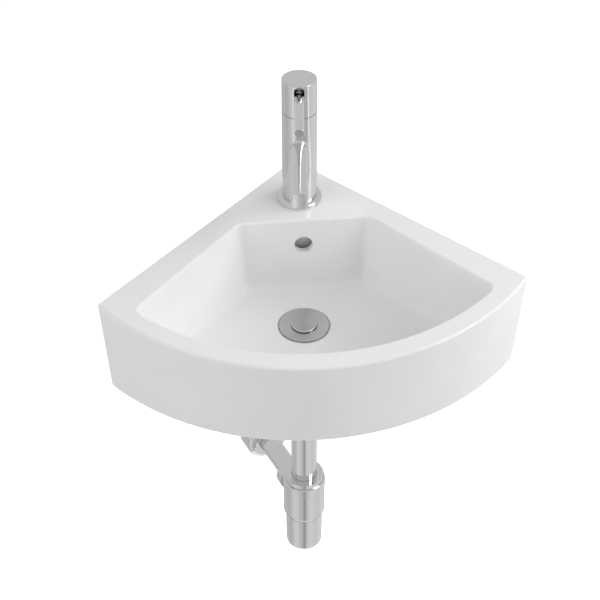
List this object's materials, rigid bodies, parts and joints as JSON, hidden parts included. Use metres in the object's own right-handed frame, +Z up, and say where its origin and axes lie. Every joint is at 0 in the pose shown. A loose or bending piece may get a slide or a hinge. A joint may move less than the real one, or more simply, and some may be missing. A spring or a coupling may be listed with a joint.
{
  "type": "corner basin",
  "caption": "Wall-hung corner basin in white glazed ceramic with a curved front, single-lever chrome tap, push waste and bottle trap.",
  "frame": {"origin": "where the two wall planes meet, at the height of the basin's deck", "axes": "+Z up; -Y out of the corner into the room; the walls run from the origin along (-1,-1,0) and (+1,-1,0)"},
  "size_m": [0.492, 0.3732, 0.6491],
  "materials": {
    "glazed_ceramic": "gloss",
    "chrome": "polished",
    "satin_chrome": "satin",
    "brass": "turned",
    "steel": "plated",
    "rubber": "matte",
    "plastic": "moulded",
    "dark_plastic": "moulded",
    "disc_ceramic": "lapped"
  },
  "bodies": {
    "fixed": {"basin": "glazed_ceramic", "bolt_pad_left": "glazed_ceramic", "bolt_pad_right": "glazed_ceramic", "overflow_channel": "glazed_ceramic", "tap_body": "chrome", "tap_spout": "chrome", "tap_base_ring": "chrome", "tap_base_seal": "rubber", "tap_stud": "steel", "tap_rubber_washer": "rubber", "tap_clamp_washer": "steel", "tap_fixing_nut": "brass", "cartridge_housing": "plastic", "cartridge_fixed_disc": "disc_ceramic", "cartridge_nut": "brass", "aerator_housing": "dark_plastic", "aerator_insert": "plastic", "waste_body": "satin_chrome", "waste_top_seal": "rubber", "waste_lower_seal": "rubber", "waste_back_nut": "brass", "clicker_housing": "plastic", "tail_nut": "chrome", "tail_washer": "rubber", "tail_pipe": "chrome", "trap_inlet_nut": "chrome", "trap_inlet_seal": "rubber", "trap_body": "chrome", "trap_cup": "chrome", "trap_cup_seal": "rubber", "outlet_nut": "chrome", "outlet_seal": "rubber", "outlet_pipe": "chrome", "wall_flange": "chrome", "flange_grip_ring": "rubber"},
    "handle_swivel": {"handle_cap": "chrome", "cartridge_turret": "plastic", "stem_pin": "steel"},
    "handle_lift": {"lever_hub": "steel", "lever_rod": "chrome", "cartridge_stem": "brass", "hub_screw": "steel"},
    "moving_disc": {"cartridge_moving_disc": "disc_ceramic"},
    "plug": {"waste_plug": "satin_chrome", "plug_seal": "rubber", "plug_spindle": "brass"}
  },
  "joints": [
    {"name": "handle_turn", "type": "hinge", "parent": "fixed", "child": "handle_swivel", "pos_m": [0, -0.0754, 0.13], "axis": [0, 0, 1], "range_deg": [-45, 45]},
    {"name": "lever_lift", "type": "hinge", "parent": "handle_swivel", "child": "handle_lift", "pos_m": [0, -0.0754, 0.13], "axis": [-0.9954, 0.0958, 0], "range_deg": [0, 16]},
    {"name": "disc_slide", "type": "slide", "parent": "handle_swivel", "child": "moving_disc", "axis": [-0.0958, -0.9954, 0], "range_m": [0, 0.0046]},
    {"name": "plug_rise", "type": "slide", "parent": "fixed", "child": "plug", "axis": [0, 0, 1], "range_m": [0, 0.008]}
  ],
  "couplings": [
    {"joint": "disc_slide", "follows": "lever_lift", "m_per_rad": 0.016412}
  ]
}
